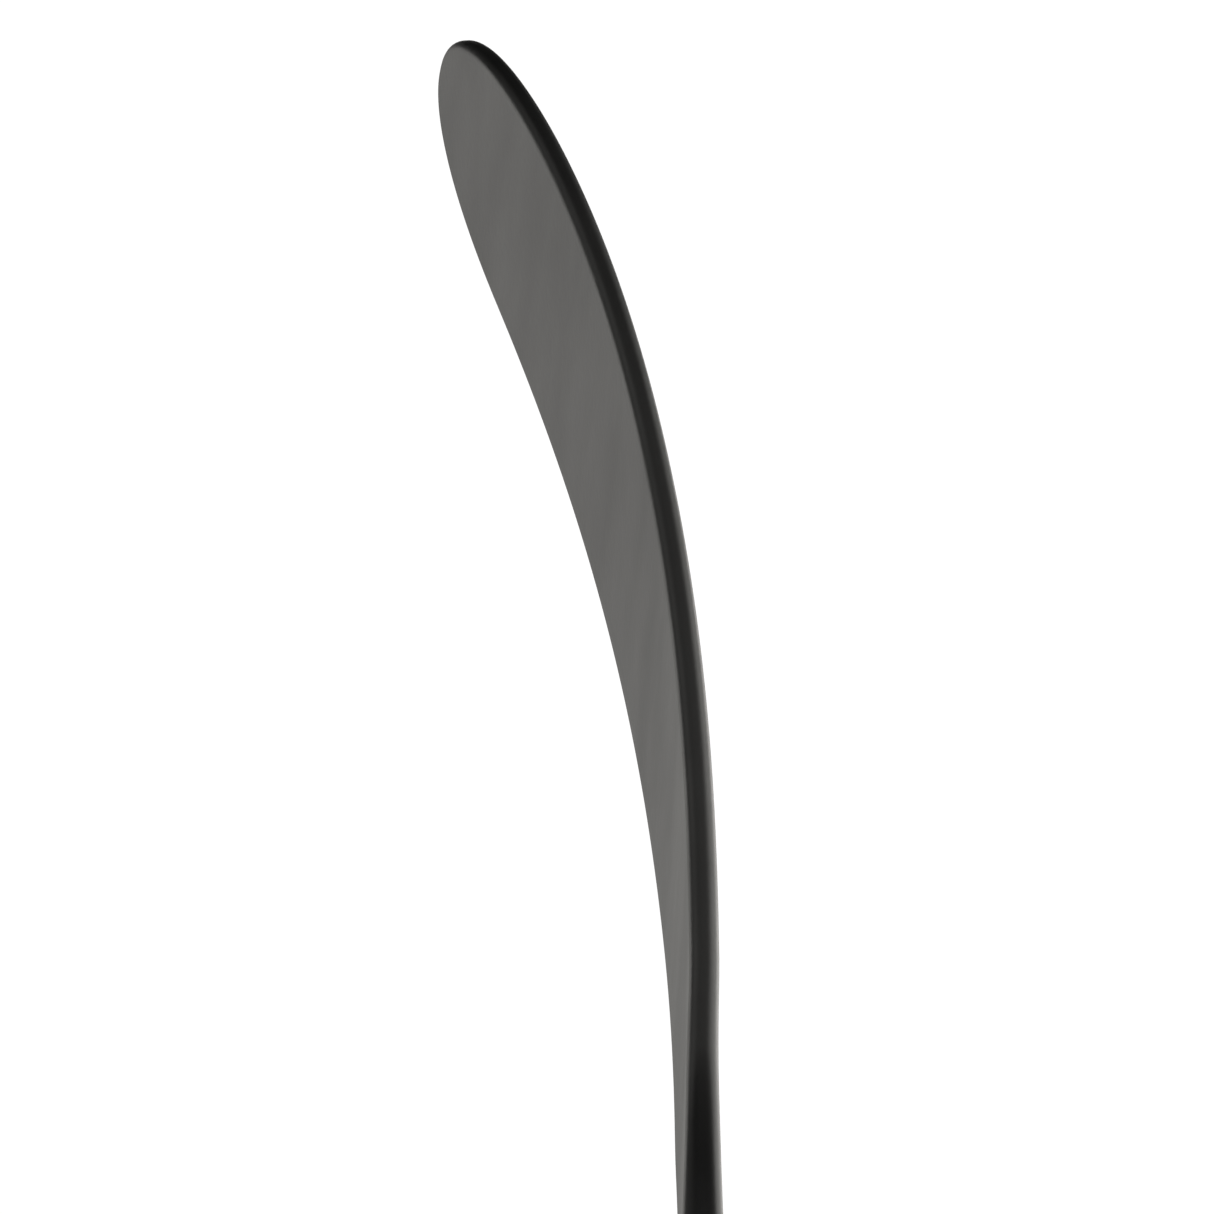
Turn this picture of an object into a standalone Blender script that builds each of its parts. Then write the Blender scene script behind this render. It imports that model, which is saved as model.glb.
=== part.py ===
"""Composite ice hockey stick with a left-hand curve, held upright by its butt with the blade on top.

Units are metres and +Z runs up the shaft. The origin is the centre of the butt plug's flat end.
The toe points towards -X, and the concave forehand face looks towards -Y.

The blade is laid out flat first. A flat place is (along, across): along runs from the heel corner
to the toe, and across runs from the bottom edge to the top edge. blade_point() then bends and
twists a flat place, and lifts it off the blade's middle surface by a depth.
"""

import math

import bmesh
import bpy
from mathutils import Vector

# Fits
CLEARANCE = 0.0003  # gap left between neighbouring pieces

# Shaft
HEEL_HEIGHT = 1.524  # butt end to the heel corner, which is 60 inches
SHAFT_WIDTH = 0.030
SHAFT_DEPTH = 0.020
SHAFT_CORNER = 0.0045
SHAFT_WALL = 0.0018
TAPER_LENGTH = 0.300  # the shaft thins over this length below its mouth

# Mouth of the shaft, where the blade's hosel sits on it
MOUTH_BELOW_HEEL = 0.121
MOUTH_WIDTH = 0.0275
MOUTH_DEPTH = 0.0130

# Butt plug
PLUG_CAP_HEIGHT = 0.006
PLUG_CHAMFER = 0.0012
PLUG_STEM_HEIGHT = 0.050
PLUG_WALL = 0.0020

# Tenon and its film of hot-melt glue
TENON_LENGTH = 0.065  # below the mouth
TENON_TOP_BELOW_HEEL = 0.104
TENON_CORNER = 0.0018
GLUE_THICKNESS = 0.0005
GLUE_MARGIN = 0.003  # bare tenon left at each end of the film

# Blade outline, laid flat
LIE_ANGLE = 135.0  # degrees between the shaft and the blade
BLADE_LENGTH = 0.3122
TIP_ACROSS = 0.0371
TOE_START_BOTTOM = 0.1574
TOE_START_TOP = 0.2583
TOE_ROUNDNESS_BOTTOM = 2.17  # 2 is an ellipse, and more is squarer
TOE_ROUNDNESS_TOP = 2.24
ROCKER_LIFT = 0.0083  # how far the bottom edge rises at the heel
ROCKER_POWER = 2.6
TOP_EDGE_HEIGHT = 0.0585  # at the start of the toe's rounding
TOP_EDGE_SQUARE = 0.0049
TOP_EDGE_CUBE = 0.0007
HEEL_BEND_BELOW = 0.038  # the heel's bend starts this far down the hosel
HEEL_BEND_END = 0.008  # and ends this far along the bottom edge
THROAT_BELOW = 0.094  # the throat's fillet, between the hosel and the top edge
THROAT_END = -0.005

# Blade curve: the heading turns towards the forehand side by these degrees over the whole length
CURVE_LINEAR = 7.2
CURVE_SQUARE = 35.1
CURVE_CUBE = -25.1
CURVE_STEP = 0.001
TWIST_HEEL = -1.0
TWIST_TOE = -9.2
TWIST_LINE = 0.030  # the blade twists about this line, measured across
TWIST_RUN_IN = 0.030

# Blade thickness
PADDLE_THICKNESS = 0.00564
PADDLE_THINNING = 0.00075  # from heel to toe
FLARE_TOP = 0.0120  # the hosel starts to thicken at this height above the heel corner
EDGE_FLAT = 0.0003  # half of the narrow flat left along the middle of the blade's edges
CORNER_BASE = 0.00195  # on thicker places the rounding stops at this plus a share of the thickness
CORNER_GAIN = 0.116

# Inside of the blade
SKIN_THICKNESS = 0.0009
SKIN_EDGE_WALL = 0.0011
SKIN_INNER_RADIUS = 0.0008
RIB_WIDTH = 0.003
CORE_FIRST_STATION = 2
CORE_LAST_STATION = 37

# How finely the outline is divided: straight part, bend, long edge, toe
BOTTOM_DIVISIONS = (6, 8, 14, 16)
TOP_DIVISIONS = (3, 8, 17, 16)
FACE_DIVISIONS = 5
CORE_DIVISIONS = 3
CORNER_DIVISIONS = 3  # each quarter turn of an edge or a corner
MERGE_DISTANCE = 0.000005  # points closer than this are one point
SLOPE_STEP = 0.001  # length over which an edge's slope is taken

# Directions of the flat blade: towards the toe, towards the top edge, and towards the forehand
LEAN = math.radians(180.0 - LIE_ANGLE)
TOWARDS_TOE = Vector((-math.sin(LEAN), 0.0, math.cos(LEAN)))
TOWARDS_TOP_EDGE = Vector((-math.cos(LEAN), 0.0, -math.sin(LEAN)))
TOWARDS_FOREHAND = Vector((0.0, -1.0, 0.0))
HEEL_CORNER = Vector((MOUTH_WIDTH / 2, 0.0, HEEL_HEIGHT))
MOUTH_HEIGHT = HEEL_HEIGHT - MOUTH_BELOW_HEEL


def clear_scene():
    """Removes whatever objects the file already holds."""
    for old in list(bpy.data.objects):
        bpy.data.objects.remove(old, do_unlink=True)


def make_material(name, colour, roughness, metallic=0.0):
    """A plain Principled material."""
    material = bpy.data.materials.new(name)
    material.use_nodes = True
    shader = material.node_tree.nodes["Principled BSDF"]
    shader.inputs["Base Color"].default_value = (*colour, 1.0)
    shader.inputs["Roughness"].default_value = roughness
    shader.inputs["Metallic"].default_value = metallic
    return material


def add_solid(name, vertices, faces, material):
    """Makes one closed, outward-facing object from vertices and faces."""
    shape = bmesh.new()
    corners = [shape.verts.new(place) for place in vertices]
    for face in faces:
        shape.faces.new([corners[number] for number in face])
    bmesh.ops.remove_doubles(shape, verts=shape.verts, dist=MERGE_DISTANCE)
    bmesh.ops.recalc_face_normals(shape, faces=shape.faces)
    mesh = bpy.data.meshes.new(name)
    shape.to_mesh(mesh)
    shape.free()
    mesh.materials.append(material)
    piece = bpy.data.objects.new(name, mesh)
    bpy.context.scene.collection.objects.link(piece)
    return piece


def add_loft(name, rings, material, endless=False):
    """Joins closed rings of equally many points. The two ends are capped unless it is endless."""
    count = len(rings[0])
    vertices = [place for ring in rings for place in ring]
    faces = []
    joined = len(rings) if endless else len(rings) - 1
    for row in range(joined):
        here = row * count
        above = (row + 1) % len(rings) * count
        for number in range(count):
            after = (number + 1) % count
            faces.append((here + number, here + after, above + after, above + number))
    if not endless:
        faces.append(tuple(range(count)))
        faces.append(tuple(range(len(vertices) - count, len(vertices))))
    return add_solid(name, vertices, faces, material)


def add_sheet(name, outer, inner, material, tip_meets=False):
    """Joins two grids of equal size into one solid. A grid whose last row folds shut needs no cap."""
    rows = len(outer)
    columns = len(outer[0])
    vertices = [place for grid in (outer, inner) for row in grid for place in row]
    under = rows * columns
    faces = []
    for row in range(rows - 1):
        for column in range(columns - 1):
            corner = row * columns + column
            quad = (corner, corner + 1, corner + columns + 1, corner + columns)
            faces.append(quad)
            faces.append(tuple(number + under for number in reversed(quad)))
        for column in (0, columns - 1):
            corner = row * columns + column
            faces.append((corner, corner + columns, corner + columns + under, corner + under))
    capped_rows = [0] if tip_meets else [0, rows - 1]
    for row in capped_rows:
        for column in range(columns - 1):
            corner = row * columns + column
            faces.append((corner, corner + 1, corner + 1 + under, corner + under))
    return add_solid(name, vertices, faces, material)


def rounded_rectangle(width, depth, radius, height):
    """A closed ring with rounded corners, centred on the shaft's axis at a height."""
    ring = []
    for quarter, (side_x, side_y) in enumerate(((1, 1), (-1, 1), (-1, -1), (1, -1))):
        centre_x = side_x * (width / 2 - radius)
        centre_y = side_y * (depth / 2 - radius)
        for step in range(CORNER_DIVISIONS + 1):
            angle = math.radians(90.0) * (quarter + step / CORNER_DIVISIONS)
            x = centre_x + radius * math.cos(angle)
            y = centre_y + radius * math.sin(angle)
            ring.append(Vector((x, y, height)))
    return ring


def smooth_step(part):
    """Rises smoothly from 0 to 1 as part does."""
    part = min(max(part, 0.0), 1.0)
    return part * part * (3.0 - 2.0 * part)


def heading(along):
    """The angle by which the blade has turned towards the forehand side."""
    part = max(along, 0.0) / BLADE_LENGTH
    return math.radians(part * (CURVE_LINEAR + part * (CURVE_SQUARE + part * CURVE_CUBE)))


def trace_curve():
    """The middle line of the curved blade, as places one step apart: how far along, how far aside."""
    places = [(0.0, 0.0)]
    steps = math.ceil(BLADE_LENGTH / CURVE_STEP) + 2
    for step in range(steps):
        angle = heading((step + 0.5) * CURVE_STEP)
        along, aside = places[-1]
        places.append((along + CURVE_STEP * math.cos(angle), aside + CURVE_STEP * math.sin(angle)))
    return places


CURVE = trace_curve()


def curve_place(along):
    """Where a flat distance along the blade ends up on the curve."""
    if along <= 0.0:
        return along, 0.0
    whole, part = divmod(along / CURVE_STEP, 1.0)
    before = CURVE[int(whole)]
    after = CURVE[int(whole) + 1]
    return (
        before[0] + part * (after[0] - before[0]),
        before[1] + part * (after[1] - before[1]),
    )


def twist(along):
    """How far the blade's section is turned about its length."""
    part = min(max(along, 0.0) / BLADE_LENGTH, 1.0)
    full = TWIST_HEEL + part * (TWIST_TOE - TWIST_HEEL)
    return math.radians(full) * smooth_step(along / TWIST_RUN_IN)


def blade_point(flat, depth):
    """The place in space of a flat place, lifted towards the forehand by a depth."""
    along, across = flat
    ahead, aside = curve_place(along)
    turned = heading(along)
    tilt = twist(along)
    level = math.cos(turned) * TOWARDS_FOREHAND - math.sin(turned) * TOWARDS_TOE
    upward = math.cos(tilt) * TOWARDS_TOP_EDGE - math.sin(tilt) * level
    outward = math.cos(tilt) * level + math.sin(tilt) * TOWARDS_TOP_EDGE
    middle = HEEL_CORNER + ahead * TOWARDS_TOE + aside * TOWARDS_FOREHAND
    line = middle + TWIST_LINE * TOWARDS_TOP_EDGE
    return line + (across - TWIST_LINE) * upward + depth * outward


def height_above_heel(flat):
    """The height of a flat place over the heel corner, before the blade is curved."""
    along, across = flat
    return along * TOWARDS_TOE.z + across * TOWARDS_TOP_EDGE.z


def thickness(flat):
    """The full thickness of the blade or hosel at a flat place."""
    part = min(max(flat[0] / BLADE_LENGTH, 0.0), 1.0)
    paddle = PADDLE_THICKNESS - PADDLE_THINNING * part
    flare = (FLARE_TOP - height_above_heel(flat)) / (FLARE_TOP + MOUTH_BELOW_HEEL)
    return paddle + (MOUTH_DEPTH - PADDLE_THICKNESS) * smooth_step(flare)


def corner_radius(whole):
    """The radius that rounds an edge of a thickness: the blade's edges are almost fully round."""
    return min(whole / 2 - EDGE_FLAT, CORNER_BASE + CORNER_GAIN * whole)


def flat_of_hosel(inward, height):
    """The flat place that lies inward of the hosel's outer side, at a height over the heel corner."""
    offset = Vector((-inward, 0.0, height))
    return offset.dot(TOWARDS_TOE), offset.dot(TOWARDS_TOP_EDGE)


def straight_run(start, end, count):
    """Flat places from start up to, but not including, end."""
    return [
        (
            start[0] + (end[0] - start[0]) * step / count,
            start[1] + (end[1] - start[1]) * step / count,
        )
        for step in range(count)
    ]


def rounded_run(start, corner, end, count):
    """Flat places on a smooth bend that leaves start and meets end along the lines to corner."""
    run = []
    for step in range(count):
        part = step / count
        first = (1.0 - part) ** 2
        second = 2.0 * part * (1.0 - part)
        third = part**2
        run.append(
            (
                first * start[0] + second * corner[0] + third * end[0],
                first * start[1] + second * corner[1] + third * end[1],
            )
        )
    return run


def edge_run(edge, start, end, count):
    """Flat places on a long edge, whose height across is a function of the distance along."""
    alongs = [start + (end - start) * step / count for step in range(count)]
    return [(along, edge(along)) for along in alongs]


def toe_run(start, height, roundness, count):
    """Flat places round one half of the toe, up to and including the tip."""
    run = []
    for step in range(count + 1):
        angle = math.radians(90.0) * step / count
        ahead = math.sin(angle) ** (2.0 / roundness)
        aside = max(math.cos(angle), 0.0) ** (2.0 / roundness)
        if step == count:
            aside = 0.0
        along = start + (BLADE_LENGTH - start) * ahead
        run.append((along, TIP_ACROSS + (height - TIP_ACROSS) * aside))
    return run


def bottom_edge(along):
    """How far across the bottom edge lies: it rises towards the heel, as the blade's rocker."""
    part = max(TOE_START_BOTTOM - along, 0.0) / TOE_START_BOTTOM
    return ROCKER_LIFT * part**ROCKER_POWER


def top_edge(along):
    """How far across the top edge lies."""
    part = (TOE_START_TOP - along) / TOE_START_TOP
    return TOP_EDGE_HEIGHT + TOP_EDGE_SQUARE * part**2 + TOP_EDGE_CUBE * part**3


def bend_corner(edge, along, inward):
    """Where an edge's own direction at a distance along it meets a side of the hosel."""
    slope = (edge(along + SLOPE_STEP) - edge(along)) / SLOPE_STEP
    side_start = flat_of_hosel(inward, 0.0)
    side_end = flat_of_hosel(inward, -MOUTH_BELOW_HEEL)
    side_slope = (side_end[1] - side_start[1]) / (side_end[0] - side_start[0])
    crossing = (edge(along) - slope * along - side_start[1] + side_slope * side_start[0]) / (
        side_slope - slope
    )
    return crossing, edge(along) + slope * (crossing - along)


def bottom_chain(divisions):
    """The blade's lower outline: up the hosel's outer side, round the heel, and out to the tip."""
    straight, bend, long_edge, toe = divisions
    mouth = flat_of_hosel(0.0, -MOUTH_BELOW_HEEL)
    bend_start = flat_of_hosel(0.0, -HEEL_BEND_BELOW)
    bend_end = (HEEL_BEND_END, bottom_edge(HEEL_BEND_END))
    corner = bend_corner(bottom_edge, HEEL_BEND_END, 0.0)
    return (
        straight_run(mouth, bend_start, straight)
        + rounded_run(bend_start, corner, bend_end, bend)
        + edge_run(bottom_edge, HEEL_BEND_END, TOE_START_BOTTOM, long_edge)
        + toe_run(TOE_START_BOTTOM, 0.0, TOE_ROUNDNESS_BOTTOM, toe)
    )


def top_chain(divisions):
    """The blade's upper outline: up the hosel's inner side, through the throat, and to the tip."""
    straight, bend, long_edge, toe = divisions
    mouth = flat_of_hosel(MOUTH_WIDTH, -MOUTH_BELOW_HEEL)
    bend_start = flat_of_hosel(MOUTH_WIDTH, -THROAT_BELOW)
    bend_end = (THROAT_END, top_edge(THROAT_END))
    corner = bend_corner(top_edge, THROAT_END, MOUTH_WIDTH)
    return (
        straight_run(mouth, bend_start, straight)
        + rounded_run(bend_start, corner, bend_end, bend)
        + edge_run(top_edge, THROAT_END, TOE_START_TOP, long_edge)
        + toe_run(TOE_START_TOP, TOP_EDGE_HEIGHT, TOE_ROUNDNESS_TOP, toe)
    )


def inward_directions(chain, side):
    """A unit direction into the blade at each place of a chain. Side is 1 on the bottom chain."""
    directions = []
    last = len(chain) - 1
    for number in range(last):
        before = chain[max(number - 1, 0)]
        after = chain[number + 1]
        step_along = after[0] - before[0]
        step_across = after[1] - before[1]
        length = math.hypot(step_along, step_across)
        directions.append((-side * step_across / length, side * step_along / length))
    directions.append((-1.0, 0.0))
    return directions


BOTTOM_CHAIN = bottom_chain(BOTTOM_DIVISIONS)
TOP_CHAIN = top_chain(TOP_DIVISIONS)
BOTTOM_INWARD = inward_directions(BOTTOM_CHAIN, 1)
TOP_INWARD = inward_directions(TOP_CHAIN, -1)
LAST_STATION = len(BOTTOM_CHAIN) - 1


def inset(station, from_top, distance):
    """The flat place at a distance inside the outline, at a station of the bottom or top chain."""
    chain = TOP_CHAIN if from_top else BOTTOM_CHAIN
    inward = TOP_INWARD if from_top else BOTTOM_INWARD
    place = chain[station]
    direction = inward[station]
    return place[0] + distance * direction[0], place[1] + distance * direction[1]


def between(first, second, part):
    """The flat place a part of the way from the first to the second."""
    return (
        first[0] + part * (second[0] - first[0]),
        first[1] + part * (second[1] - first[1]),
    )


def edge_profile(station, from_top, inside):
    """Places and depths from the parting line round one edge to the face, on a skin's out- or inside."""
    outline_thickness = thickness(inset(station, from_top, 0.0))
    if inside:
        wall = SKIN_EDGE_WALL
        radius = SKIN_INNER_RADIUS
        face_depth = outline_thickness / 2 - SKIN_THICKNESS
    else:
        wall = 0.0
        radius = corner_radius(outline_thickness)
        face_depth = outline_thickness / 2
    profile = [(inset(station, from_top, wall), CLEARANCE / 2)]
    for step in range(CORNER_DIVISIONS + 1):
        angle = math.radians(90.0) * step / CORNER_DIVISIONS
        sunk = radius * (1.0 - math.cos(angle))
        depth = face_depth - radius * (1.0 - math.sin(angle))
        profile.append((inset(station, from_top, wall + sunk), depth))
    return profile


def skin_row(station, forehand, inside):
    """One row of a skin's outer or inner surface, from the bottom edge over the face to the top."""
    rising = edge_profile(station, False, inside)
    falling = edge_profile(station, True, inside)
    lost_depth = SKIN_THICKNESS if inside else 0.0
    face = []
    for step in range(1, FACE_DIVISIONS):
        flat = between(rising[-1][0], falling[-1][0], step / FACE_DIVISIONS)
        face.append((flat, thickness(flat) / 2 - lost_depth))
    side = 1.0 if forehand else -1.0
    profile = rising + face + falling[::-1]
    return [blade_point(flat, side * depth) for flat, depth in profile]


def make_skin(name, forehand, material):
    """One moulded half of the blade's carbon skin, with its edge walls turned in to the middle."""
    stations = range(LAST_STATION + 1)
    outer = [skin_row(station, forehand, inside=False) for station in stations]
    inner = [skin_row(station, forehand, inside=True) for station in stations]
    return add_sheet(name, outer, inner, material, tip_meets=True)


def filling_rows(stations, lower, upper):
    """Front and back grids of a piece that fills the skins from a lower to an upper flat place."""
    lost_depth = SKIN_THICKNESS + CLEARANCE
    front = []
    back = []
    for station in stations:
        start = lower(station)
        end = upper(station)
        places = [between(start, end, step / CORE_DIVISIONS) for step in range(CORE_DIVISIONS + 1)]
        depths = [thickness(flat) / 2 - lost_depth for flat in places]
        front.append([blade_point(flat, depth) for flat, depth in zip(places, depths)])
        back.append([blade_point(flat, -depth) for flat, depth in zip(places, depths)])
    return front, back


def cavity_side(station, from_top):
    """The flat place just inside the skins' edge wall."""
    return inset(station, from_top, SKIN_EDGE_WALL + CLEARANCE)


def rib_side(station, offset):
    """A flat place beside the middle of the cavity, offset towards the top edge."""
    low = cavity_side(station, False)
    high = cavity_side(station, True)
    span = math.dist(low, high)
    return between(low, high, 0.5 + offset / span)


def make_cores(foam, carbon):
    """Two foam cores with the carbon rib that bridges the skins between them."""
    stations = range(CORE_FIRST_STATION, CORE_LAST_STATION + 1)
    rib_edge = RIB_WIDTH / 2
    core_edge = rib_edge + CLEARANCE

    def bottom(station):
        return cavity_side(station, False)

    def top(station):
        return cavity_side(station, True)

    def rib_low(station):
        return rib_side(station, -rib_edge)

    def rib_high(station):
        return rib_side(station, rib_edge)

    def under_rib(station):
        return rib_side(station, -core_edge)

    def over_rib(station):
        return rib_side(station, core_edge)

    for name, lower, upper, material in (
        ("lower_core", bottom, under_rib, foam),
        ("blade_rib", rib_low, rib_high, carbon),
        ("upper_core", over_rib, top, foam),
    ):
        front, back = filling_rows(stations, lower, upper)
        add_sheet(name, front, back, material)


def make_toe_block(material):
    """The solid filling of the toe, beyond the cores."""
    ends = []
    for station in (CORE_LAST_STATION, CORE_LAST_STATION + 1):
        ends.append((cavity_side(station, False), cavity_side(station, True)))
    shift = CLEARANCE / math.dist(between(*ends[0], 0.5), between(*ends[1], 0.5))

    def lower(station):
        if station == CORE_LAST_STATION:
            return between(ends[0][0], ends[1][0], shift)
        return cavity_side(station, False)

    def upper(station):
        if station == CORE_LAST_STATION:
            return between(ends[0][1], ends[1][1], shift)
        return cavity_side(station, True)

    stations = range(CORE_LAST_STATION, LAST_STATION + 1)
    front, back = filling_rows(stations, lower, upper)
    add_sheet("toe_block", front, back, material, tip_meets=True)


def make_shaft_tube(material):
    """The hollow shaft: a rounded rectangular tube that tapers towards its mouth."""
    foot = PLUG_CAP_HEIGHT + CLEARANCE
    mouth_corner = corner_radius(MOUTH_DEPTH)
    sections = (
        (SHAFT_WIDTH, SHAFT_DEPTH, SHAFT_CORNER, foot),
        (SHAFT_WIDTH, SHAFT_DEPTH, SHAFT_CORNER, MOUTH_HEIGHT - TAPER_LENGTH),
        (MOUTH_WIDTH, MOUTH_DEPTH, mouth_corner, MOUTH_HEIGHT - CLEARANCE),
    )
    outside = [rounded_rectangle(*section) for section in sections]
    inside = []
    for width, depth, corner, height in reversed(sections):
        inside.append(
            rounded_rectangle(
                width - 2 * SHAFT_WALL, depth - 2 * SHAFT_WALL, corner - SHAFT_WALL, height
            )
        )
    add_loft("shaft_tube", outside + inside, material, endless=True)


def make_butt_plug(material):
    """The moulded plug in the open end of the shaft: a flat cap and a hollow stem."""
    stem_lost = 2 * (SHAFT_WALL + CLEARANCE)
    stem_width = SHAFT_WIDTH - stem_lost
    stem_depth = SHAFT_DEPTH - stem_lost
    stem_corner = SHAFT_CORNER - stem_lost / 2
    stem_top = PLUG_CAP_HEIGHT + PLUG_STEM_HEIGHT
    hollow = 2 * PLUG_WALL
    rings = [
        rounded_rectangle(
            SHAFT_WIDTH - 2 * PLUG_CHAMFER,
            SHAFT_DEPTH - 2 * PLUG_CHAMFER,
            SHAFT_CORNER - PLUG_CHAMFER,
            0.0,
        ),
        rounded_rectangle(SHAFT_WIDTH, SHAFT_DEPTH, SHAFT_CORNER, PLUG_CHAMFER),
        rounded_rectangle(SHAFT_WIDTH, SHAFT_DEPTH, SHAFT_CORNER, PLUG_CAP_HEIGHT),
        rounded_rectangle(stem_width, stem_depth, stem_corner, PLUG_CAP_HEIGHT),
        rounded_rectangle(stem_width, stem_depth, stem_corner, stem_top - PLUG_CHAMFER),
        rounded_rectangle(
            stem_width - PLUG_CHAMFER, stem_depth - PLUG_CHAMFER, stem_corner, stem_top
        ),
        rounded_rectangle(
            stem_width - hollow, stem_depth - hollow, stem_corner - PLUG_WALL / 2, stem_top
        ),
        rounded_rectangle(
            stem_width - hollow, stem_depth - hollow, stem_corner - PLUG_WALL / 2, PLUG_CAP_HEIGHT
        ),
    ]
    add_loft("butt_plug", rings, material)


def make_tenon(block_material, glue_material):
    """The solid tenon that joins the blade to the shaft, and the film of glue round it."""
    glue_outer_width = MOUTH_WIDTH - 2 * (SHAFT_WALL + CLEARANCE)
    glue_outer_depth = MOUTH_DEPTH - 2 * (SHAFT_WALL + CLEARANCE)
    glue_inner_width = glue_outer_width - 2 * GLUE_THICKNESS
    glue_inner_depth = glue_outer_depth - 2 * GLUE_THICKNESS
    tenon_width = glue_inner_width - 2 * CLEARANCE
    tenon_depth = glue_inner_depth - 2 * CLEARANCE
    tenon_foot = MOUTH_HEIGHT - TENON_LENGTH
    root_width = MOUTH_WIDTH - 2 * (SKIN_EDGE_WALL + CLEARANCE)
    root_top = HEEL_HEIGHT - TENON_TOP_BELOW_HEEL
    root_top_flat = flat_of_hosel(MOUTH_WIDTH / 2, -TENON_TOP_BELOW_HEEL)
    root_depth = thickness(root_top_flat) - 2 * (SKIN_THICKNESS + CLEARANCE)
    shoulder = MOUTH_HEIGHT + CLEARANCE
    rings = [
        rounded_rectangle(tenon_width, tenon_depth, TENON_CORNER, tenon_foot),
        rounded_rectangle(tenon_width, tenon_depth, TENON_CORNER, shoulder),
        rounded_rectangle(root_width, root_depth, TENON_CORNER, shoulder),
        rounded_rectangle(root_width, root_depth, TENON_CORNER, root_top),
    ]
    add_loft("tenon_block", rings, block_material)
    glue_ends = (tenon_foot + GLUE_MARGIN, MOUTH_HEIGHT - GLUE_MARGIN)
    outer_corner = TENON_CORNER + CLEARANCE + GLUE_THICKNESS
    inner_corner = TENON_CORNER + CLEARANCE
    outside = [
        rounded_rectangle(glue_outer_width, glue_outer_depth, outer_corner, height)
        for height in glue_ends
    ]
    inside = [
        rounded_rectangle(glue_inner_width, glue_inner_depth, inner_corner, height)
        for height in reversed(glue_ends)
    ]
    add_loft("glue_film", outside + inside, glue_material, endless=True)


def make_stick():
    """Builds every piece of the stick."""
    clear_scene()
    satin_black = make_material("satin_black_paint", (0.010, 0.010, 0.0095), 0.42)
    shaft_black = make_material("shaft_black_paint", (0.010, 0.010, 0.0095), 0.40)
    plug_black = make_material("plug_plastic", (0.020, 0.020, 0.021), 0.55)
    carbon = make_material("bare_carbon", (0.045, 0.045, 0.048), 0.50)
    foam = make_material("core_foam", (0.62, 0.55, 0.36), 0.90)
    resin = make_material("filled_resin", (0.16, 0.15, 0.13), 0.60)
    glue = make_material("hot_melt_glue", (0.70, 0.55, 0.25), 0.30)
    make_shaft_tube(shaft_black)
    make_butt_plug(plug_black)
    make_tenon(resin, glue)
    make_skin("forehand_skin", True, satin_black)
    make_skin("backhand_skin", False, satin_black)
    make_cores(foam, carbon)
    make_toe_block(resin)


make_stick()
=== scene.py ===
"""The looks of a composite ice hockey stick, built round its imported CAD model.

Units are metres and +Z runs up the shaft. The toe points towards -X, and the concave forehand face
looks towards -Y. The blade is laid out flat as (along, across) and then curved by blade_point().
"""

import math

import bmesh
import bpy
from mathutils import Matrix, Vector


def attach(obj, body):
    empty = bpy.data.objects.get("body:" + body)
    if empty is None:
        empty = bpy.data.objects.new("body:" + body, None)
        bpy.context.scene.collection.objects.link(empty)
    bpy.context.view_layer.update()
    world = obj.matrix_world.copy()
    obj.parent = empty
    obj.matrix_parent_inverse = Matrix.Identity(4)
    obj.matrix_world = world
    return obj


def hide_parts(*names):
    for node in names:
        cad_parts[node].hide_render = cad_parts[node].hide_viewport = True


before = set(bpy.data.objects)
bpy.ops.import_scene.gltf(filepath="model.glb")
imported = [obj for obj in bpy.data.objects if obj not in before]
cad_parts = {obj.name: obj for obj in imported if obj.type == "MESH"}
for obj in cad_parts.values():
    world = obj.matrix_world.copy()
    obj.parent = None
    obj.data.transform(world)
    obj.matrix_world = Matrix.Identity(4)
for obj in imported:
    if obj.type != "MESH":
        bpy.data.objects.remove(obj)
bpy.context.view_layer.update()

# Shaft, the same sizes as in the CAD model
HEEL_HEIGHT = 1.524
SHAFT_WIDTH = 0.030
SHAFT_DEPTH = 0.020
SHAFT_CORNER = 0.0045
SHAFT_WALL = 0.0018
SHAFT_HOLLOWING = 0.00025  # how far the wide and narrow sides dip in their middle
TAPER_LENGTH = 0.300
MOUTH_BELOW_HEEL = 0.121
MOUTH_WIDTH = 0.0275
MOUTH_DEPTH = 0.0130
JOINT_GAP = 0.0003

# Butt plug
PLUG_CAP_HEIGHT = 0.006
PLUG_ROUNDING = 0.0012
PLUG_STEM_HEIGHT = 0.050
PLUG_WALL = 0.0020
PLUG_RIBS = 3
PLUG_RIB_WIDTH = 0.0016
PLUG_RIB_HEIGHT = 0.0002

# Tenon and its glue
TENON_LENGTH = 0.065
TENON_TOP_BELOW_HEEL = 0.104
TENON_CORNER = 0.0018
TENON_LEAD_IN = 0.0006
GLUE_THICKNESS = 0.0005
GLUE_MARGIN = 0.003
GLUE_WAVE = 0.0006  # how far the glue's ends run up and down
GLUE_UNEVENNESS = 0.4  # share of the glue's thickness that its ripples take away

# Blade outline, laid flat
LIE_ANGLE = 135.0
BLADE_LENGTH = 0.3122
TIP_ACROSS = 0.0371
TOE_START_BOTTOM = 0.1574
TOE_START_TOP = 0.2583
TOE_ROUNDNESS_BOTTOM = 2.17
TOE_ROUNDNESS_TOP = 2.24
ROCKER_LIFT = 0.0083
ROCKER_POWER = 2.6
TOP_EDGE_HEIGHT = 0.0585
TOP_EDGE_SQUARE = 0.0049
TOP_EDGE_CUBE = 0.0007
HEEL_BEND_BELOW = 0.038
HEEL_BEND_END = 0.008
THROAT_BELOW = 0.094
THROAT_END = -0.005

# Blade curve, in degrees over the whole length, and its twist
CURVE_LINEAR = 7.2
CURVE_SQUARE = 35.1
CURVE_CUBE = -25.1
CURVE_STEP = 0.001
TWIST_HEEL = -1.0
TWIST_TOE = -9.2
TWIST_LINE = 0.030
TWIST_RUN_IN = 0.030

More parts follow.
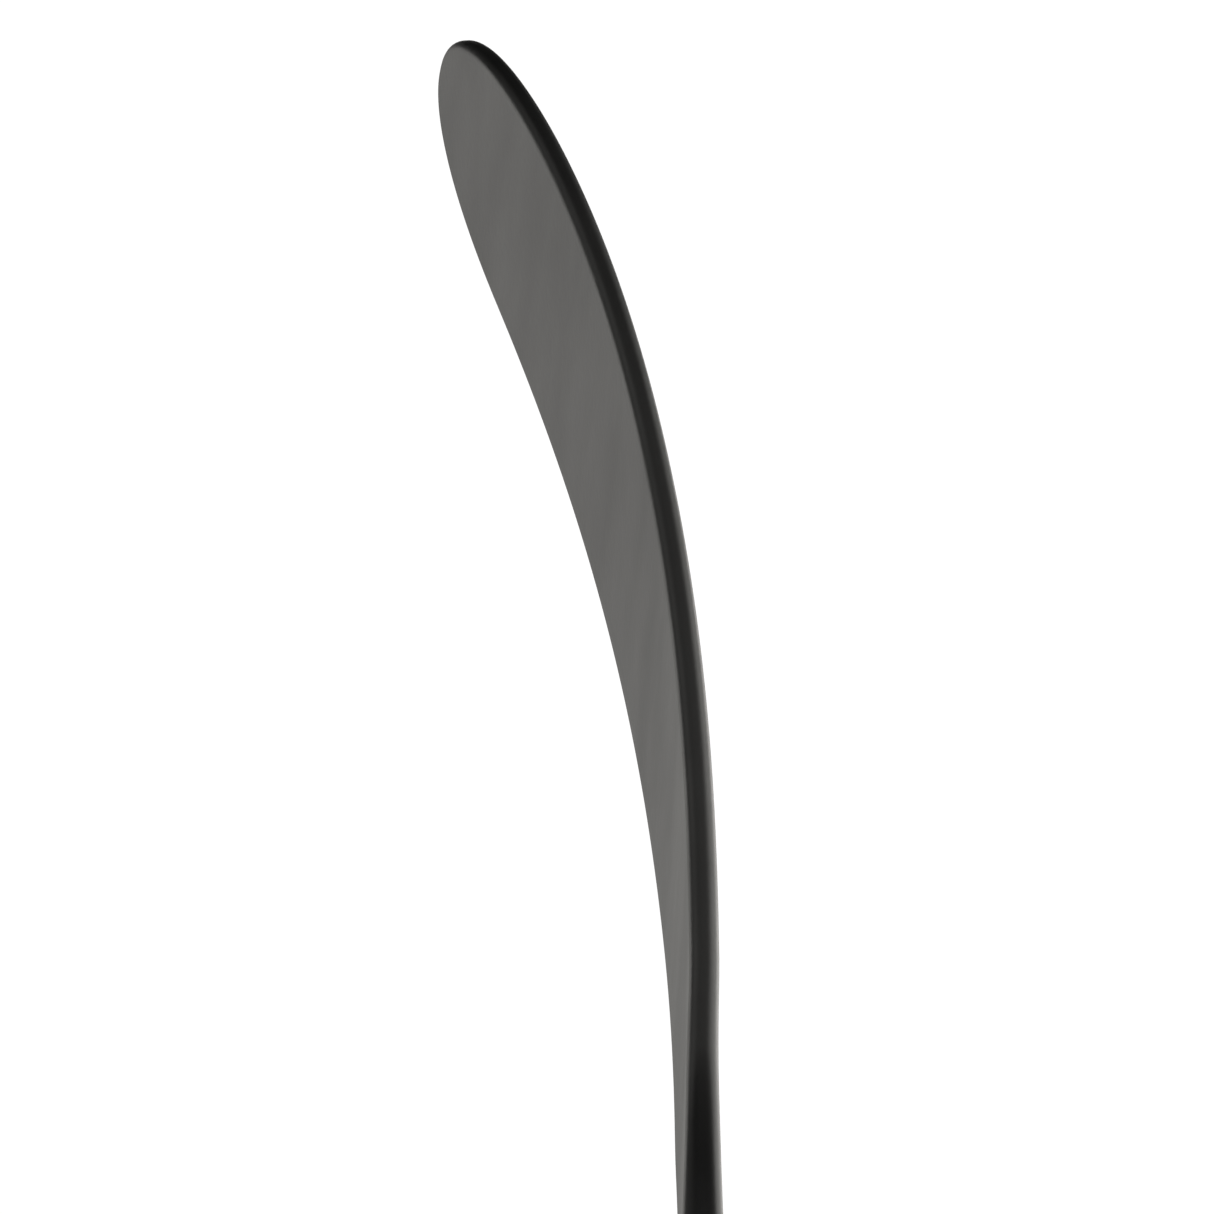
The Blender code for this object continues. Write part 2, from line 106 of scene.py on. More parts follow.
# Blade thickness and the rounding of its edges
PADDLE_THICKNESS = 0.00564
PADDLE_THINNING = 0.00075
FLARE_TOP = 0.0120
EDGE_FLAT = 0.0003
CORNER_BASE = 0.00195
CORNER_GAIN = 0.116
SKIN_THICKNESS = 0.0009
SKIN_EDGE_WALL = 0.0011
EDGE_BREAK = 0.0002  # bevel at the ends of the hosel and of the shaft
EDGE_BREAK_DIVISIONS = 3

# How finely the blade is divided: straight part, bend, long edge, toe
BOTTOM_DIVISIONS = (18, 30, 52, 60)
TOP_DIVISIONS = (12, 30, 58, 60)
FACE_DIVISIONS = 24
CORNER_DIVISIONS = 12
BOX_CORNER_DIVISIONS = 10
BOX_SIDE_DIVISIONS = 10
TAPER_DIVISIONS = 16
PLUG_ROUND_DIVISIONS = 5
GLUE_ROWS = 40
SHARP_ANGLE = math.radians(40.0)
MERGE_DISTANCE = 0.000002
SLOPE_STEP = 0.001  # length over which an edge's slope is taken

# Paint: darker and lighter tone, and the range of roughness
BLADE_BLACK = ((0.0020, 0.0020, 0.0020), (0.0036, 0.0036, 0.0035))
BLADE_ROUGHNESS = (0.385, 0.455)
SHAFT_BLACK = ((0.0022, 0.0022, 0.0022), (0.0034, 0.0034, 0.0033))
SHAFT_ROUGHNESS = (0.38, 0.43)
BLADE_GRAIN = (3.0, 1.0, 1.3)  # how far its clouds are drawn out across, through and along the blade
SHAFT_GRAIN = (1.0, 1.0, 4.0)  # and across, through and along the shaft

# Nearly all of a noise texture's values lie between these
NOISE_LOW = 0.3
NOISE_HIGH = 0.7

# Camera: level with the blade and square to its bottom edge
CAMERA_DISTANCE = 1.852
CAMERA_LENS = 283.9
SENSOR_WIDTH = 36.0
AIM_FROM_HEEL = Vector((-0.1273, -0.01728, 0.0793))

# Studio
BACKDROP_STRENGTH = 1.05
FILL_STRENGTH = 0.01
FLOOR_RADIUS = 8.0
FLOOR_DIVISIONS = 128
FLOOR_DROP = 0.062  # the held stick's butt hangs this high, a little more than the plug's travel
FLOOR_GLOW = 0.88
SOFTBOX_DISTANCE = 3.0
SOFTBOX_TINT = (1.0, 0.983, 0.944)
WATTS_PER_BRIGHTNESS = 4.0  # for each square metre of an area light

# Each softbox: bearing and elevation in degrees, width and height in metres, brightness.
# The bearing turns from behind the stick, at -X, to its forehand side, at -Y.
SOFTBOXES = {
    "rear": (10.0, 2.0, 2.8, 1.95, 0.46),
    "forehand_low": (50.0, 2.0, 1.33, 1.95, 1.33),
    "forehand_side": (110.0, 2.0, 3.2, 1.95, 0.22),
    "forehand_high": (90.0, 42.0, 1.83, 2.18, 0.69),
    "backhand_rear": (-49.0, 2.0, 2.5, 1.95, 2.8),
    "backhand_side": (-93.0, 2.0, 2.4, 1.95, 2.7),
    "backhand_rear_high": (-62.0, 34.0, 1.2, 1.6, 1.6),
    "backhand_high": (-90.0, 42.0, 1.83, 2.18, 1.75),
    "front_low": (180.0, 2.0, 6.0, 1.95, 0.05),
    "front_high": (180.0, 45.0, 3.2, 2.2, 0.14),
    "overhead": (180.0, 78.0, 3.2, 1.3, 0.58),
}

LEAN = math.radians(180.0 - LIE_ANGLE)
TOWARDS_TOE = Vector((-math.sin(LEAN), 0.0, math.cos(LEAN)))
TOWARDS_TOP_EDGE = Vector((-math.cos(LEAN), 0.0, -math.sin(LEAN)))
TOWARDS_FOREHAND = Vector((0.0, -1.0, 0.0))
HEEL_CORNER = Vector((MOUTH_WIDTH / 2, 0.0, HEEL_HEIGHT))
AIM = HEEL_CORNER + AIM_FROM_HEEL
MOUTH_HEIGHT = HEEL_HEIGHT - MOUTH_BELOW_HEEL


# ---------------------------------------------------------------- blade geometry


def smooth_step(part):
    """Rises smoothly from 0 to 1 as part does."""
    part = min(max(part, 0.0), 1.0)
    return part * part * (3.0 - 2.0 * part)


def heading(along):
    """The angle by which the blade has turned towards the forehand side."""
    part = max(along, 0.0) / BLADE_LENGTH
    return math.radians(part * (CURVE_LINEAR + part * (CURVE_SQUARE + part * CURVE_CUBE)))


def trace_curve():
    """The middle line of the curved blade, one step apart: how far along, how far aside."""
    places = [(0.0, 0.0)]
    steps = math.ceil(BLADE_LENGTH / CURVE_STEP) + 2
    for step in range(steps):
        angle = heading((step + 0.5) * CURVE_STEP)
        along, aside = places[-1]
        places.append((along + CURVE_STEP * math.cos(angle), aside + CURVE_STEP * math.sin(angle)))
    return places


CURVE = trace_curve()


def curve_place(along):
    """Where a flat distance along the blade ends up on the curve."""
    if along <= 0.0:
        return along, 0.0
    whole, part = divmod(along / CURVE_STEP, 1.0)
    before = CURVE[int(whole)]
    after = CURVE[int(whole) + 1]
    return (
        before[0] + part * (after[0] - before[0]),
        before[1] + part * (after[1] - before[1]),
    )


def twist(along):
    """How far the blade's section is turned about its length."""
    part = min(max(along, 0.0) / BLADE_LENGTH, 1.0)
    full = TWIST_HEEL + part * (TWIST_TOE - TWIST_HEEL)
    return math.radians(full) * smooth_step(along / TWIST_RUN_IN)


def blade_point(flat, depth):
    """The place in space of a flat place, lifted towards the forehand by a depth."""
    along, across = flat
    ahead, aside = curve_place(along)
    turned = heading(along)
    tilt = twist(along)
    level = math.cos(turned) * TOWARDS_FOREHAND - math.sin(turned) * TOWARDS_TOE
    upward = math.cos(tilt) * TOWARDS_TOP_EDGE - math.sin(tilt) * level
    outward = math.cos(tilt) * level + math.sin(tilt) * TOWARDS_TOP_EDGE
    middle = HEEL_CORNER + ahead * TOWARDS_TOE + aside * TOWARDS_FOREHAND
    line = middle + TWIST_LINE * TOWARDS_TOP_EDGE
    return line + (across - TWIST_LINE) * upward + depth * outward


def height_above_heel(flat):
    """The height of a flat place over the heel corner, before the blade is curved."""
    along, across = flat
    return along * TOWARDS_TOE.z + across * TOWARDS_TOP_EDGE.z


def thickness(flat):
    """The full thickness of the blade or hosel at a flat place."""
    part = min(max(flat[0] / BLADE_LENGTH, 0.0), 1.0)
    paddle = PADDLE_THICKNESS - PADDLE_THINNING * part
    flare = (FLARE_TOP - height_above_heel(flat)) / (FLARE_TOP + MOUTH_BELOW_HEEL)
    return paddle + (MOUTH_DEPTH - PADDLE_THICKNESS) * smooth_step(flare)


def corner_radius(whole):
    """The radius that rounds an edge of a thickness: the blade's edges are almost fully round."""
    return min(whole / 2 - EDGE_FLAT, CORNER_BASE + CORNER_GAIN * whole)


def flat_of_hosel(inward, height):
    """The flat place that lies inward of the hosel's outer side, at a height over the heel."""
    offset = Vector((-inward, 0.0, height))
    return offset.dot(TOWARDS_TOE), offset.dot(TOWARDS_TOP_EDGE)


def between(first, second, part):
    """The flat place a part of the way from the first to the second."""
    return (
        first[0] + part * (second[0] - first[0]),
        first[1] + part * (second[1] - first[1]),
    )


def straight_run(start, end, count):
    """Flat places from start up to, but not including, end."""
    return [between(start, end, step / count) for step in range(count)]


def rounded_run(start, corner, end, count):
    """Flat places on a smooth bend that leaves start and meets end along the lines to corner."""
    run = []
    for step in range(count):
        part = step / count
        run.append(between(between(start, corner, part), between(corner, end, part), part))
    return run


def edge_run(edge, start, end, count):
    """Flat places on a long edge, whose height across is a function of the distance along."""
    alongs = [start + (end - start) * step / count for step in range(count)]
    return [(along, edge(along)) for along in alongs]


def toe_run(start, height, roundness, count):
    """Flat places round one half of the toe, up to and including the tip."""
    run = []
    for step in range(count):
        angle = math.radians(90.0) * step / count
        ahead = math.sin(angle) ** (2.0 / roundness)
        aside = math.cos(angle) ** (2.0 / roundness)
        along = start + (BLADE_LENGTH - start) * ahead
        run.append((along, TIP_ACROSS + (height - TIP_ACROSS) * aside))
    run.append((BLADE_LENGTH, TIP_ACROSS))
    return run


def bottom_edge(along):
    """How far across the bottom edge lies: it rises towards the heel, as the blade's rocker."""
    part = max(TOE_START_BOTTOM - along, 0.0) / TOE_START_BOTTOM
    return ROCKER_LIFT * part**ROCKER_POWER


def top_edge(along):
    """How far across the top edge lies."""
    part = (TOE_START_TOP - along) / TOE_START_TOP
    return TOP_EDGE_HEIGHT + TOP_EDGE_SQUARE * part**2 + TOP_EDGE_CUBE * part**3


def bend_corner(edge, along, inward):
    """Where an edge's own direction at a distance along it meets a side of the hosel."""
    slope = (edge(along + SLOPE_STEP) - edge(along)) / SLOPE_STEP
    side_start = flat_of_hosel(inward, 0.0)
    side_end = flat_of_hosel(inward, -MOUTH_BELOW_HEEL)
    side_slope = (side_end[1] - side_start[1]) / (side_end[0] - side_start[0])
    crossing = (edge(along) - slope * along - side_start[1] + side_slope * side_start[0]) / (
        side_slope - slope
    )
    return crossing, edge(along) + slope * (crossing - along)


def bottom_chain():
    """The lower outline: up the hosel's outer side, round the heel, and out to the tip."""
    straight, bend, long_edge, toe = BOTTOM_DIVISIONS
    mouth = flat_of_hosel(0.0, -MOUTH_BELOW_HEEL)
    bend_start = flat_of_hosel(0.0, -HEEL_BEND_BELOW)
    bend_end = (HEEL_BEND_END, bottom_edge(HEEL_BEND_END))
    corner = bend_corner(bottom_edge, HEEL_BEND_END, 0.0)
    return (
        straight_run(mouth, bend_start, straight)
        + rounded_run(bend_start, corner, bend_end, bend)
        + edge_run(bottom_edge, HEEL_BEND_END, TOE_START_BOTTOM, long_edge)
        + toe_run(TOE_START_BOTTOM, 0.0, TOE_ROUNDNESS_BOTTOM, toe)
    )


def top_chain():
    """The upper outline: up the hosel's inner side, through the throat, and out to the tip."""
    straight, bend, long_edge, toe = TOP_DIVISIONS
    mouth = flat_of_hosel(MOUTH_WIDTH, -MOUTH_BELOW_HEEL)
    bend_start = flat_of_hosel(MOUTH_WIDTH, -THROAT_BELOW)
    bend_end = (THROAT_END, top_edge(THROAT_END))
    corner = bend_corner(top_edge, THROAT_END, MOUTH_WIDTH)
    return (
        straight_run(mouth, bend_start, straight)
        + rounded_run(bend_start, corner, bend_end, bend)
        + edge_run(top_edge, THROAT_END, TOE_START_TOP, long_edge)
        + toe_run(TOE_START_TOP, TOP_EDGE_HEIGHT, TOE_ROUNDNESS_TOP, toe)
    )


def inward_directions(chain, side):
    """A unit direction into the blade at each place of a chain. Side is 1 on the bottom chain."""
    directions = []
    for number in range(len(chain) - 1):
        before = chain[max(number - 1, 0)]
        after = chain[number + 1]
        step_along = after[0] - before[0]
        step_across = after[1] - before[1]
        length = math.hypot(step_along, step_across)
        directions.append((-side * step_across / length, side * step_along / length))
    directions.append((-1.0, 0.0))
    return directions


def inset(place, inward, distance):
    """A flat place moved into the blade by a distance."""
    return place[0] + distance * inward[0], place[1] + distance * inward[1]


def edge_arc(place, inward, wall):
    """Places and depths on the rounded edge, from beside the middle surface to the face."""
    whole = thickness(place)
    radius = corner_radius(whole) - wall
    face_depth = whole / 2 - wall
    arc = []
    for step in range(CORNER_DIVISIONS + 1):
        angle = math.radians(90.0) * step / CORNER_DIVISIONS
        sunk = wall + radius * (1.0 - math.cos(angle))
        depth = face_depth - radius * (1.0 - math.sin(angle))
        arc.append((inset(place, inward, sunk), depth))
    return arc


def shell_ring(low, low_inward, high, high_inward, wall):
    """A closed ring over the forehand face and back over the other, a wall under the surface."""
    rising = edge_arc(low, low_inward, wall)
    falling = edge_arc(high, high_inward, wall)
    face = []
    for step in range(1, FACE_DIVISIONS):
        flat = between(rising[-1][0], falling[-1][0], step / FACE_DIVISIONS)
        face.append((flat, thickness(flat) / 2 - wall))
    half = rising + face + falling[::-1]
    forehand = [blade_point(flat, depth) for flat, depth in half]
    backhand = [blade_point(flat, -depth) for flat, depth in reversed(half)]
    return forehand + backhand


# ---------------------------------------------------------------- mesh building


def is_level_rim(edge, heights):
    """Whether an edge is sharp and lies level at one of the heights."""
    if edge.calc_face_angle(0.0) < SHARP_ANGLE:
        return False
    for height in heights:
        if all(abs(corner.co.z - height) < MERGE_DISTANCE for corner in edge.verts):
            return True
    return False


def add_piece(name, vertices, faces, material, body, rim_heights=()):
    """Makes a smooth piece that rides on a body, with its sharp rims at some heights bevelled."""
    shape = bmesh.new()
    corners = [shape.verts.new(place) for place in vertices]
    for face in faces:
        shape.faces.new([corners[number] for number in face])
    bmesh.ops.remove_doubles(shape, verts=shape.verts, dist=MERGE_DISTANCE)
    bmesh.ops.recalc_face_normals(shape, faces=shape.faces)
    rims = [edge for edge in shape.edges if is_level_rim(edge, rim_heights)]
    bmesh.ops.bevel(
        shape,
        geom=rims,
        offset=EDGE_BREAK,
        segments=EDGE_BREAK_DIVISIONS,
        profile=0.5,
        affect="EDGES",
    )
    for face in shape.faces:
        face.smooth = True
    mesh = bpy.data.meshes.new(name)
    shape.to_mesh(mesh)
    shape.free()
    mesh.materials.append(material)
    mesh.set_sharp_from_angle(angle=SHARP_ANGLE)
    piece = bpy.data.objects.new(name, mesh)
    bpy.context.scene.collection.objects.link(piece)
    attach(piece, body)
    return piece


def ring_faces(rows, count, start=0):
    """Quads between neighbouring closed rings of equally many points."""
    faces = []
    for row in range(rows - 1):
        here = start + row * count
        for number in range(count):
            after = (number + 1) % count
            faces.append((here + number, here + after, here + count + after, here + count + number))
    return faces


def joining_faces(first, second, count):
    """Quads between two rings anywhere in the list of vertices."""
    faces = []
    for number in range(count):
        after = (number + 1) % count
        faces.append((first + number, first + after, second + after, second + number))
    return faces


def loft_piece(name, rings, material, body, endless=False, rim_heights=()):
    """Joins closed rings into a piece. The two ends are capped unless it is endless."""
    count = len(rings[0])
    vertices = [place for ring in rings for place in ring]
    faces = ring_faces(len(rings), count)
    last = len(vertices) - count
    if endless:
        faces.extend(joining_faces(last, 0, count))
    else:
        faces.append(tuple(range(count)))
        faces.append(tuple(range(last, len(vertices))))
    return add_piece(name, vertices, faces, material, body, rim_heights)


def box_ring(width, depth, radius, height, hollowing=0.0):
    """A fine closed ring round the shaft's axis: round corners, and sides that may dip a little."""
    corners = []
    for quarter, (side_x, side_y) in enumerate(((1, 1), (-1, 1), (-1, -1), (1, -1))):
        centre = Vector((side_x * (width / 2 - radius), side_y * (depth / 2 - radius), height))
        arc = []
        for step in range(BOX_CORNER_DIVISIONS + 1):
            angle = math.radians(90.0) * (quarter + step / BOX_CORNER_DIVISIONS)
            arc.append(centre + radius * Vector((math.cos(angle), math.sin(angle), 0.0)))
        corners.append(arc)
    inwards = (
        Vector((0.0, -1.0, 0.0)),
        Vector((1.0, 0.0, 0.0)),
        Vector((0.0, 1.0, 0.0)),
        Vector((-1.0, 0.0, 0.0)),
    )
    ring = []
    for quarter, inward in enumerate(inwards):
        ring.extend(corners[quarter])
        start = corners[quarter][-1]
        end = corners[(quarter + 1) % 4][0]
        for step in range(1, BOX_SIDE_DIVISIONS):
            part = step / BOX_SIDE_DIVISIONS
            dip = hollowing * math.sin(math.pi * part) ** 2
            ring.append(start.lerp(end, part) + dip * inward)
    return ring


# ---------------------------------------------------------------- pieces


def make_blade(material):
    """The blade and hosel as one moulded skin with a wall, closed at the toe, open at the mouth."""
    low_chain = bottom_chain()
    high_chain = top_chain()
    low_inward = inward_directions(low_chain, 1)
    high_inward = inward_directions(high_chain, -1)
    rows = len(low_chain)
    outside = []
    inside = []
    for station in range(rows):
        sides = (
            low_chain[station],
            low_inward[station],
            high_chain[station],
            high_inward[station],
        )
        outside.append(shell_ring(*sides, 0.0))
        inside.append(shell_ring(*sides, SKIN_THICKNESS))
    count = len(outside[0])
    vertices = [place for ring in outside + inside for place in ring]
    inner_start = rows * count
    faces = ring_faces(rows, count) + ring_faces(rows, count, inner_start)
    faces.extend(joining_faces(0, inner_start, count))
    rim_heights = [MOUTH_HEIGHT]
    piece = add_piece(
        "blade_shell", vertices, faces, material, "blade", rim_heights
    )
    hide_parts("forehand_skin", "backhand_skin")


def shaft_section(height):
    """Width, depth and corner radius of the shaft at a height. It thins towards its mouth."""
    part = smooth_step((height - MOUTH_HEIGHT + TAPER_LENGTH) / TAPER_LENGTH)
    width = SHAFT_WIDTH + part * (MOUTH_WIDTH - SHAFT_WIDTH)
    depth = SHAFT_DEPTH + part * (MOUTH_DEPTH - SHAFT_DEPTH)
    corner = SHAFT_CORNER + part * (corner_radius(MOUTH_DEPTH) - SHAFT_CORNER)
    return width, depth, corner


def make_shaft(material):
    """The hollow shaft, with faintly hollow sides."""
    foot = PLUG_CAP_HEIGHT + JOINT_GAP
    top = MOUTH_HEIGHT - JOINT_GAP
    heights = [foot, foot + (MOUTH_HEIGHT - TAPER_LENGTH - foot) / 2]
    for step in range(TAPER_DIVISIONS + 1):
        heights.append(top - TAPER_LENGTH * (1.0 - step / TAPER_DIVISIONS))
    outside = []
    inside = []
    for height in heights:
        width, depth, corner = shaft_section(height)
        outside.append(box_ring(width, depth, corner, height, SHAFT_HOLLOWING))
        inner_size = (width - 2 * SHAFT_WALL, depth - 2 * SHAFT_WALL, corner - SHAFT_WALL)
        inside.append(box_ring(*inner_size, height))
    piece = loft_piece(
        "shaft_shell",
        outside + inside[::-1],
        material,
        "shaft",
        endless=True,
        rim_heights=[foot, top],
    )
    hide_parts("shaft_tube")


def plug_cap_rings():
    """The cap's rings, from its flat end round its rim and up to its top."""
    rings = []
    for step in range(PLUG_ROUND_DIVISIONS + 1):
        angle = math.radians(90.0) * step / PLUG_ROUND_DIVISIONS
        lost = PLUG_ROUNDING * (1.0 - math.sin(angle))
        height = PLUG_ROUNDING * (1.0 - math.cos(angle))
        size = (SHAFT_WIDTH - 2 * lost, SHAFT_DEPTH - 2 * lost, SHAFT_CORNER - lost)
        rings.append(box_ring(*size, height))
    rings.append(box_ring(SHAFT_WIDTH, SHAFT_DEPTH, SHAFT_CORNER, PLUG_CAP_HEIGHT))
    return rings


def plug_stem_ring(height, proud):
    """One ring of the stem, standing proud of its plain outside, or inside it if proud is negative."""
    lost = SHAFT_WALL + JOINT_GAP - proud
    return box_ring(SHAFT_WIDTH - 2 * lost, SHAFT_DEPTH - 2 * lost, SHAFT_CORNER - lost, height)


def plug_stem_rings():
    """The stem's rings: up its ribbed outside, over its rounded end, and down its inside."""
    rings = [plug_stem_ring(PLUG_CAP_HEIGHT, 0.0)]
    for number in range(PLUG_RIBS):
        middle = PLUG_CAP_HEIGHT + PLUG_STEM_HEIGHT * (number + 1) / (PLUG_RIBS + 1)
        rings.append(plug_stem_ring(middle - PLUG_RIB_WIDTH, 0.0))
        rings.append(plug_stem_ring(middle - PLUG_RIB_WIDTH / 2, PLUG_RIB_HEIGHT))
        rings.append(plug_stem_ring(middle + PLUG_RIB_WIDTH / 2, PLUG_RIB_HEIGHT))
        rings.append(plug_stem_ring(middle + PLUG_RIB_WIDTH, 0.0))
    stem_top = PLUG_CAP_HEIGHT + PLUG_STEM_HEIGHT
    rings.append(plug_stem_ring(stem_top - PLUG_ROUNDING, 0.0))
    rings.append(plug_stem_ring(stem_top, -PLUG_ROUNDING / 2))
    rings.append(plug_stem_ring(stem_top, -PLUG_WALL))
    rings.append(plug_stem_ring(PLUG_CAP_HEIGHT, -PLUG_WALL))
    return rings


def make_plug(material):
    """The butt plug: a cap with a rounded rim, and a hollow stem with three gripping ribs."""
    rings = plug_cap_rings() + plug_stem_rings()
    piece = loft_piece("butt_cap", rings, material, "plug")
    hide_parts("butt_plug")


def make_tenon(material):
    """The tenon below the hosel, with a lead-in at its foot, and its root inside the hosel."""
    lost = 2 * (SHAFT_WALL + GLUE_THICKNESS + 2 * JOINT_GAP)
    width = MOUTH_WIDTH - lost
    depth = MOUTH_DEPTH - lost
    foot = MOUTH_HEIGHT - TENON_LENGTH
    shoulder = MOUTH_HEIGHT + JOINT_GAP
    root_flat = flat_of_hosel(MOUTH_WIDTH / 2, -TENON_TOP_BELOW_HEEL)
    root_width = MOUTH_WIDTH - 2 * (SKIN_EDGE_WALL + JOINT_GAP)
    root_depth = thickness(root_flat) - 2 * (SKIN_THICKNESS + JOINT_GAP)
    root_top = HEEL_HEIGHT - TENON_TOP_BELOW_HEEL
    lead = TENON_LEAD_IN
    rings = [
        box_ring(width - 2 * lead, depth - 2 * lead, TENON_CORNER - lead, foot),
        box_ring(width, depth, TENON_CORNER, foot + 2 * lead),
        box_ring(width, depth, TENON_CORNER, shoulder),
        box_ring(root_width, root_depth, TENON_CORNER, shoulder),
        box_ring(root_width, root_depth, TENON_CORNER, root_top),
    ]
    piece = loft_piece("tenon_core", rings, material, "blade")
    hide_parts("tenon_block")


def glue_rings(part):
    """The glue's outer and inner ring, a part of the way up from its low to its high end."""
    outer_width = MOUTH_WIDTH - 2 * (SHAFT_WALL + JOINT_GAP)
    outer_depth = MOUTH_DEPTH - 2 * (SHAFT_WALL + JOINT_GAP)
    outer_corner = TENON_CORNER + JOINT_GAP + GLUE_THICKNESS
    inner_size = (
        outer_width - 2 * GLUE_THICKNESS,
        outer_depth - 2 * GLUE_THICKNESS,
        outer_corner - GLUE_THICKNESS,
    )
    low = MOUTH_HEIGHT - TENON_LENGTH + GLUE_MARGIN
    high = MOUTH_HEIGHT - GLUE_MARGIN
    outer = box_ring(outer_width, outer_depth, outer_corner, 0.0)
    inner = box_ring(*inner_size, 0.0)
    for number, (far, near) in enumerate(zip(outer, inner)):
        # Waves of unlike length run round each end, and ripples run askew up the coat
        angle = math.tau * number / len(outer)
        low_wave = GLUE_WAVE * (1.0 + math.sin(3 * angle) * math.cos(7 * angle + 1.0))
        high_wave = GLUE_WAVE * (1.0 + math.sin(4 * angle + 2.0) * math.cos(5 * angle))
        height = low + low_wave + part * (high - high_wave - low - low_wave)
        ripple = 0.5 + 0.5 * math.sin(5 * angle + 9 * part) * math.cos(14 * part + 2 * angle)
        far.z = height
        near.z = height
        far.xy = far.xy.lerp(near.xy, GLUE_UNEVENNESS * ripple)
    return outer, inner


def make_glue(material):
    """The coat of hot-melt glue round the tenon, with an uneven outside and wavy ends."""
    rows = [glue_rings(row / GLUE_ROWS) for row in range(GLUE_ROWS + 1)]
    outside = [outer for outer, inner in rows]
    inside = [inner for outer, inner in rows]
    piece = loft_piece(
        "glue_coat", outside + inside[::-1], material, "blade", endless=True
    )
    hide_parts("glue_film")


# ---------------------------------------------------------------- materials


def new_material(name):
    """A material with its node tree and its shader."""
    material = bpy.data.materials.new(name)
    material.use_nodes = True
    tree = material.node_tree
    return material, tree, tree.nodes["Principled BSDF"]


def noise(tree, scale, detail, lengths=(1.0, 1.0, 1.0), turn=0.0):
    """Noise in the piece's own space, drawn out along axes that are turned about Y."""
    place = tree.nodes.new("ShaderNodeTexCoord")
    mapping = tree.nodes.new("ShaderNodeMapping")
    mapping.vector_type = "TEXTURE"
    mapping.inputs["Scale"].default_value = lengths
    mapping.inputs["Rotation"].default_value = (0.0, turn, 0.0)
    texture = tree.nodes.new("ShaderNodeTexNoise")
    texture.inputs["Scale"].default_value = scale
    texture.inputs["Detail"].default_value = detail
    tree.links.new(place.outputs["Object"], mapping.inputs["Vector"])
    tree.links.new(mapping.outputs["Vector"], texture.inputs["Vector"])
    return texture.outputs["Fac"]


def cells(tree, scale):
    """Distance to the nearest of many scattered points, in the piece's own space."""
    place = tree.nodes.new("ShaderNodeTexCoord")
    texture = tree.nodes.new("ShaderNodeTexVoronoi")
    texture.inputs["Scale"].default_value = scale
    tree.links.new(place.outputs["Object"], texture.inputs["Vector"])
    return texture.outputs["Distance"]


def colour(tree, shader, value, dark, light):
    """Colours the surface between dark and light, by a noise value."""
    node = tree.nodes.new("ShaderNodeValToRGB")
    node.color_ramp.elements[0].position = NOISE_LOW
    node.color_ramp.elements[0].color = (*dark, 1.0)
    node.color_ramp.elements[1].position = NOISE_HIGH
    node.color_ramp.elements[1].color = (*light, 1.0)
    tree.links.new(value, node.inputs["Fac"])
    tree.links.new(node.outputs["Color"], shader.inputs["Base Color"])


def roughen(tree, shader, value, low, high):
    """Varies the surface's roughness from low to high, by a noise value."""
    node = tree.nodes.new("ShaderNodeMapRange")
    node.inputs["From Min"].default_value = NOISE_LOW
    node.inputs["From Max"].default_value = NOISE_HIGH
    node.inputs["To Min"].default_value = low
    node.inputs["To Max"].default_value = high
    tree.links.new(value, node.inputs["Value"])
    tree.links.new(node.outputs["Result"], shader.inputs["Roughness"])


def bump(tree, shader, value, height, previous=None):
    """Adds relief of a height in metres."""
    node = tree.nodes.new("ShaderNodeBump")
    node.inputs["Distance"].default_value = height
    tree.links.new(value, node.inputs["Height"])
    if previous is not None:
        tree.links.new(previous, node.inputs["Normal"])
    tree.links.new(node.outputs["Normal"], shader.inputs["Normal"])
    return node.outputs["Normal"]


def satin_paint(name, tones, roughness, lengths, turn=0.0):
    """Satin paint over moulded composite: drawn-out clouds of tone and gloss, and a fine peel."""
    material, tree, shader = new_material(name)
    clouds = noise(tree, scale=90.0, detail=5.0, lengths=lengths, turn=turn)
    colour(tree, shader, clouds, *tones)
    gloss = noise(tree, scale=60.0, detail=6.0, lengths=lengths, turn=turn)
    roughen(tree, shader, gloss, *roughness)
    peel = bump(tree, shader, noise(tree, scale=600.0, detail=2.0), height=0.00003)
    fine_peel = noise(tree, scale=2600.0, detail=1.0)
    bump(tree, shader, fine_peel, height=0.000004, previous=peel)
    return material


def moulded_plastic(name):
    """Fine matt black plastic, as from an etched mould."""
    material, tree, shader = new_material(name)
    tone = noise(tree, scale=90.0, detail=3.0)
    colour(tree, shader, tone, dark=(0.012, 0.012, 0.0125), light=(0.018, 0.018, 0.0185))
    roughen(tree, shader, noise(tree, scale=260.0, detail=3.0), low=0.48, high=0.60)
    bump(tree, shader, noise(tree, scale=5200.0, detail=2.0), height=0.00002)
    return material


def filled_resin(name):
    """Grey-brown resin with short fibres in it."""
    material, tree, shader = new_material(name)
    fibres = noise(tree, scale=700.0, detail=3.0, lengths=(1.0, 1.0, 8.0))
    colour(tree, shader, fibres, dark=(0.085, 0.078, 0.066), light=(0.20, 0.185, 0.155))
    roughen(tree, shader, noise(tree, scale=300.0, detail=3.0), low=0.45, high=0.65)
    bump(tree, shader, fibres, height=0.00006)
    return material


def hot_melt_glue(name):
    """Waxy amber glue that lets some light into itself."""
    material, tree, shader = new_material(name)
    cloud = noise(tree, scale=220.0, detail=3.0)
    colour(tree, shader, cloud, dark=(0.48, 0.31, 0.10), light=(0.70, 0.52, 0.24))
    roughen(tree, shader, noise(tree, scale=150.0, detail=2.0), low=0.18, high=0.32)
    shader.inputs["Subsurface Weight"].default_value = 0.4
    shader.inputs["Subsurface Radius"].default_value = (1.0, 0.6, 0.3)
    shader.inputs["Subsurface Scale"].default_value = 0.001
    bump(tree, shader, noise(tree, scale=380.0, detail=2.0), height=0.0001)
    return material


